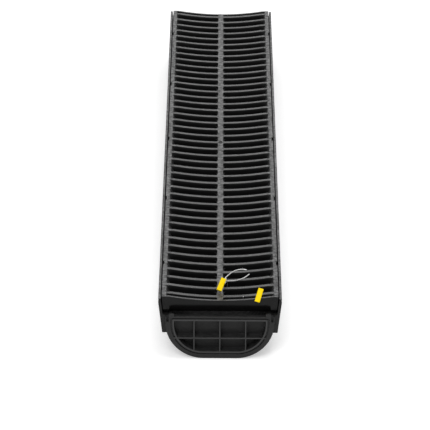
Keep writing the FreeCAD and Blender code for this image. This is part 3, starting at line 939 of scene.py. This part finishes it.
    def build(self) -> Object:
        """Makes the grate."""
        rings = self.rings()
        loop = self.loop()
        runs = self.runs - 1
        keep = np.ones((*rings.shape[:2], rings.shape[2]), bool)[:, 1:]
        low_run = np.r_[0:runs, rings.shape[2] - 1]
        high_run = np.r_[runs + 5:2 * runs + 6]
        keep[0][:, low_run] = False
        keep[-1][:, high_run] = False
        for slot, at in ((0, 2 * runs + 9), (-1, 2 * runs + 6)):
            corner = rings[slot, :, at:at + 3]
            corner[..., 1] = np.sign(corner[..., 1]) * self.rib_reach(corner[..., 2])
        skin = Skin()
        skin.grid(rings, around=True, keep=keep)
        limits = self.slot_limits()
        share = np.linspace(0, 1, self.runs + 1)
        for level, name, wide in ((0, "top", self.edge), (-1, "bottom", 0.0)):
            sharp = rings[1, level]
            x = sharp[:, 0].min() * (1 - share) + sharp[:, 0].max() * share
            y = np.stack([limits[f"high_{name}"][:-1] + wide, limits[f"low_{name}"][1:] - wide], 1)
            z = self.deck(x) if level == 0 else 0 * x + self.under
            skin.grid(np.stack(np.broadcast_arrays(x, y[..., None], z), axis=-1))
        places = np.sort(np.concatenate([limits["low_top"] - self.edge * limits["low_round"],
                                         limits["high_top"] + self.edge * limits["high_round"]]))
        self.side_member(skin, places)
        x = np.linspace(0, self.rib / 2 - self.edge, 3)
        skin.grid(in_xz(np.stack([x, self.deck(x)], 1)[None].repeat(len(places), 0),
                        places[:, None]))
        foot = np.array([(self.rib_foot / 2, self.under), (self.rib_foot / 2, self.rib_under),
                         (0, self.rib_under)])
        along = np.repeat(places[:, None], len(foot), 1)
        for at in (0, -1):
            along[at] = np.sign(places[at]) * self.rib_reach(foot[:, 1])
        skin.grid(in_xz(foot[None].repeat(len(places), 0), along))
        self.close_ends(skin, rings, loop, foot)
        skin.mirror()
        for end in End:
            self.end_wall(skin, end)
        self.gate_mark(skin)
        piece = skin.piece("grate_dressed", self.finish, "grate_plastic")
        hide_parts("grate")
        return piece

    def close_ends(self, skin: Skin, rings: Array, loop: dict[str, Array], foot: Array) -> None:
        """Closes the right side member and the right half of the centre rib at both ends.

        Args:
            skin: The mesh to add to.
            rings: The slots' rings.
            loop: The shares that the rings were made from.
            foot: The lower part of the rib's section.
        """
        runs = self.runs - 1
        profile = self.side_profile(False)
        for slot, at_side, at_rib in ((0, runs, rings.shape[2] - 1), (-1, runs + 5, 2 * runs + 6)):
            along = rings[slot, 0, at_side, 1]
            member = rings[slot, ::-1, at_side]
            block = in_xz(profile, along)
            block[:, 1] = self.block_end(block[:, 1], block[:, 2])
            low = block[:, 2] < self.block_bottom + 0.01
            skin.flat(block[low])
            first, last = np.flatnonzero(low)[[0, -1]]
            skin.flat(np.concatenate([block[:first + 1], block[last:-1], member[:-1]]))
            rib = rings[slot, :, at_rib]
            x = np.linspace(0, self.rib / 2 - self.edge, 3)[:-1]
            top = in_xz(np.stack([x, self.deck(x)], 1), along)
            below = in_xz(foot, np.sign(along) * self.rib_reach(foot[:, 1]))
            skin.flat(np.concatenate([top, rib[:-1], below]))


# ---- End cap ----------------------------------------------------------------

@dataclass
class EndCap:
    """The D-shaped cap: a grooved flange with two ears, and a ribbed cup that plugs the trough."""

    finish: Material
    back: float = -500.0
    thick: float = 3.5
    half: float = 57.5
    bottom: float = 0.5
    top: float = 47.4
    radius: float = 40.0
    top_radius: float = 0.8
    ear_out: float = 54.0
    ear_in: float = 48.0
    ear_top: float = 50.3
    ear_radius: float = 1.2
    slit_bottom: float = 41.4
    slit_width: float = 2.2
    cup_half: float = 50.0
    cup_bottom: float = 6.6
    cup_top: float = 44.6
    cup_radius: float = 32.0
    cup_wall: float = 1.8
    stand: float = 0.8
    depth: float = 12.8
    panel: float = 2.0
    groove: float = 1.7
    groove_top: float = 0.9
    groove_depth: float = 1.6
    rib: float = 1.4
    rib_pitch: float = 27.2
    shelf: float = 24.1
    rib_setback: float = 0.3
    soft: float = 0.35
    steps: int = 14

    def flange_corners(self) -> Array:
        """The flange's outline, counterclockwise from its lower right corner."""
        right = np.array([
            (self.half, self.bottom, self.radius),
            (self.half, self.top, self.top_radius),
            (self.ear_out + self.slit_width, self.top, 0.3),
            (self.ear_out + self.slit_width, self.slit_bottom, 0.4),
            (self.ear_out, self.slit_bottom, 0.4),
            (self.ear_out, self.ear_top, self.ear_radius),
            (self.ear_in, self.ear_top, self.ear_radius),
            (self.ear_in, self.top, 0.3),
        ])
        return np.concatenate([right, right[::-1] * (-1, 1, 1)])

    def cup_corners(self, shrink: float) -> Array:
        """The cup's outline, drawn in by a distance all round."""
        return inset(d_corners(self.cup_half, self.cup_bottom, self.cup_top, self.cup_radius,
                               1.0), shrink)

    def tiers(self, skin: Skin, rows: list[tuple[Array, float]]) -> tuple[Array, Array]:
        """Adds a wall through outlines with the same corners, each at a place along the drain.

        Args:
            skin: The mesh to add to.
            rows: The corners of each outline, and its place.

        Returns:
            The first and the last outline's points.
        """
        grid = np.stack([in_xz(turned(corners, self.steps), place) for corners, place in rows])
        skin.grid(grid, around=True)
        return grid[0], grid[-1]

    def web(self, low: tuple[float, float], high: tuple[float, float]) -> Skin:
        """One rib of the cup, a bar with a soft front edge.

        Args:
            low: Its lowest X and Z.
            high: Its highest X and Z.

        Returns:
            The rib as a closed mesh.
        """
        corners = np.array([(high[0], low[1], 0.02), (high[0], high[1], 0.02),
                            (low[0], high[1], 0.02), (low[0], low[1], 0.02)])
        front = self.back - self.thick - self.stand
        skin = Skin()
        blunt = 0.4
        first, last = self.tiers(skin, [
            (corners, front + self.depth + self.panel / 2),
            (corners, front + self.rib_setback + blunt),
            (inset(corners, blunt * 0.3), front + self.rib_setback + blunt * 0.3),
            (inset(corners, blunt), front + self.rib_setback),
        ])
        skin.flat(first)
        skin.flat(last)
        return skin

    def build(self) -> Object:
        """Makes the cap."""
        skin = Skin()
        flange = self.flange_corners()
        front = self.back - self.thick
        rim = front - self.stand
        soft = self.soft
        outer = [(inset(flange, 0), self.back), (inset(flange, 0), front + soft),
                 (inset(flange, soft * 0.3), front + soft * 0.3), (inset(flange, soft), front)]
        behind, face = self.tiers(skin, outer)
        groove = d_corners(self.cup_half + self.groove, self.cup_bottom - self.groove,
                           self.cup_top + self.groove_top, self.cup_radius + self.groove, 1.0)
        wall = self.cup_wall
        inner = [
            (inset(groove, -0.25), front),
            (groove, front + 0.25),
            (groove, front + self.groove_depth),
            (self.cup_corners(0), front + self.groove_depth),
            (self.cup_corners(0), rim + soft),
            (self.cup_corners(soft * 0.3), rim + soft * 0.3),
            (self.cup_corners(soft), rim),
            (self.cup_corners(wall - soft), rim),
            (self.cup_corners(wall - soft * 0.3), rim + soft * 0.3),
            (self.cup_corners(wall), rim + soft),
            (self.cup_corners(wall), rim + self.depth),
        ]
        start, panel = self.tiers(skin, inner)
        skin.flat(face, start)
        skin.flat(panel)
        plug, end = self.tiers(skin, [(self.cup_corners(0), self.back),
                                      (self.cup_corners(0), rim + self.depth + self.panel - soft),
                                      (self.cup_corners(soft), rim + self.depth + self.panel)])
        skin.flat(behind, plug)
        skin.flat(end)
        middle = wall / 2
        low, high = self.cup_bottom + middle, self.cup_top - middle
        side = self.cup_half - middle - 0.35
        parts = [self.web((-side, self.shelf - self.rib), (side, self.shelf))]
        for place in (-self.rib_pitch, 0, self.rib_pitch):
            arc = self.cup_half - self.cup_radius
            lean = max(abs(place) + self.rib / 2 - arc, 0)
            rise = self.cup_radius - math.sqrt(self.cup_radius ** 2 - lean ** 2)
            parts.append(self.web((place - self.rib / 2, low + rise),
                                  (place + self.rib / 2, high)))
        for part in parts:
            skin.join(part)
        piece = skin.piece("end_cap_dressed", self.finish, "cap_plastic", 40.0)
        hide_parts("end_cap")
        return piece


# ---- Studio -----------------------------------------------------------------

@dataclass
class Studio:
    """A pale floor, soft light from all round, and a long lens looking down the drain."""

    camera_place: tuple[float, float, float] = (-0.0046, -4.1455, 1.5342)
    pitch: float = 20.646
    yaw: float = 0.019
    roll: float = 0.327
    lens: float = 313.43
    sensor: float = 36.0
    glow: float = 0.45
    floor_size: float = 60.0
    sky: float = 0.36

    def camera(self) -> None:
        """Sets up the camera."""
        data = bpy.data.cameras.new("camera")
        data.lens = self.lens
        data.sensor_width = self.sensor
        data.clip_start, data.clip_end = 0.1, 200.0
        eye = placed("camera", data)
        eye.location = self.camera_place
        turn = (Matrix.Rotation(math.radians(self.yaw), 3, "Z")
                @ Matrix.Rotation(math.radians(90 - self.pitch), 3, "X")
                @ Matrix.Rotation(math.radians(self.roll), 3, "Z"))
        eye.rotation_euler = turn.to_euler()
        bpy.context.scene.camera = eye

    def floor(self) -> None:
        """Lays the floor: lit by the lamps, and brought up to white for what looks at it."""
        half = self.floor_size / 2
        mesh = bpy.data.meshes.new("floor")
        mesh.from_pydata([(-half, -half, 0), (half, -half, 0), (half, half, 0), (-half, half, 0)],
                         [], [(0, 1, 2, 3)])
        made, tree = material("floor_paper")
        path = tree.node("ShaderNodeLightPath", {}, {})
        seen = Signal(tree, path.outputs["Is Camera Ray"])
        diffuse = tree.node("ShaderNodeBsdfDiffuse", {}, {"Color": (0.8, 0.8, 0.8, 1)})
        glow = tree.node("ShaderNodeEmission", {}, {"Strength": seen * self.glow})
        both = tree.node("ShaderNodeAddShader", {}, {0: diffuse.outputs[0], 1: glow.outputs[0]})
        tree.node("ShaderNodeOutputMaterial", {}, {"Surface": both.outputs[0]})
        mesh.materials.append(made)
        placed("floor", mesh)

    def world(self) -> None:
        """A white surround for what is seen directly or mirrored, and a softer one as light."""
        world = bpy.data.worlds.new("surround")
        world.use_nodes = True
        tree = Tree(world.node_tree)
        path = tree.node("ShaderNodeLightPath", {}, {})
        seen = (Signal(tree, path.outputs["Is Camera Ray"])
                + Signal(tree, path.outputs["Is Transmission Ray"]))
        light = self.sky + seen * (1 - self.sky)
        background = tree.node("ShaderNodeBackground", {}, {"Color": (1, 1, 1, 1),
                                                            "Strength": light})
        tree.node("ShaderNodeOutputWorld", {}, {"Surface": background.outputs[0]})
        bpy.context.scene.world = world

    def lamp(self, name: str, place: tuple, size: tuple[float, float], power: float) -> None:
        """Hangs a soft light of a width and a height, aimed at the middle of the drain."""
        data = bpy.data.lights.new(name, "AREA")
        data.shape = "RECTANGLE"
        data.size, data.size_y = size
        data.energy = power
        lamp = placed(name, data)
        lamp.location = place
        x, y, z = place
        lamp.rotation_euler = (math.atan2(math.hypot(x, y), z), 0, math.atan2(x, -y))

    def build(self) -> None:
        """Sets up the whole studio."""
        self.camera()
        self.floor()
        self.world()
        self.lamp("overhead", (0.4, -0.3, 2.6), (2.0, 2.0), 26.0)
        self.lamp("behind", (0.0, 3.4, 1.5), (3.6, 1.6), 38.0)
        self.lamp("front", (-0.5, -3.2, 2.6), (1.6, 1.6), 66.0)
        bpy.context.scene.view_settings.view_transform = "Standard"
        LOG.info("studio: camera %.0f mm, %.2f degrees down", self.lens, self.pitch)


def main() -> None:
    """Builds every piece in order and sets the studio round them."""
    logging.basicConfig(level=logging.INFO, format="%(name)s: %(message)s")
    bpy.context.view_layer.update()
    Studio().build()
    # The upward-facing grey in each finish is part dust, part painted light on the tops.
    trough_plastic = MouldedPlastic("trough_plastic_finish", dust_and_top_light=0.02, specular=0.42).make()
    grate_plastic = MouldedPlastic("grate_plastic_finish", dust_and_top_light=0.1, specular=0.28, grain=0.5,
                                   bars_only=True).make()
    # The cap's front-most rims and ribs get a painted highlight.
    cap_plastic = MouldedPlastic("cap_plastic_finish", base=0.009, dust_and_top_light=0.03, specular=0.45,
                                 mottle=0.08, front_highlight_place=-503.65).make()
    wire = GalvanisedWire("galvanised_wire").make()
    yellow = SleevePlastic("yellow_sleeving").make()
    Trough(trough_plastic).build()
    Grate(grate_plastic).build()
    EndCap(cap_plastic).build()
    for node, finish in (("tie_wire_centre", wire), ("tie_sleeve_centre", yellow),
                         ("tie_wire_front", wire), ("tie_sleeve_front", yellow)):
        for slot in bpy.data.objects[node].material_slots:
            slot.material = finish


if __name__ == "__main__":
    main()
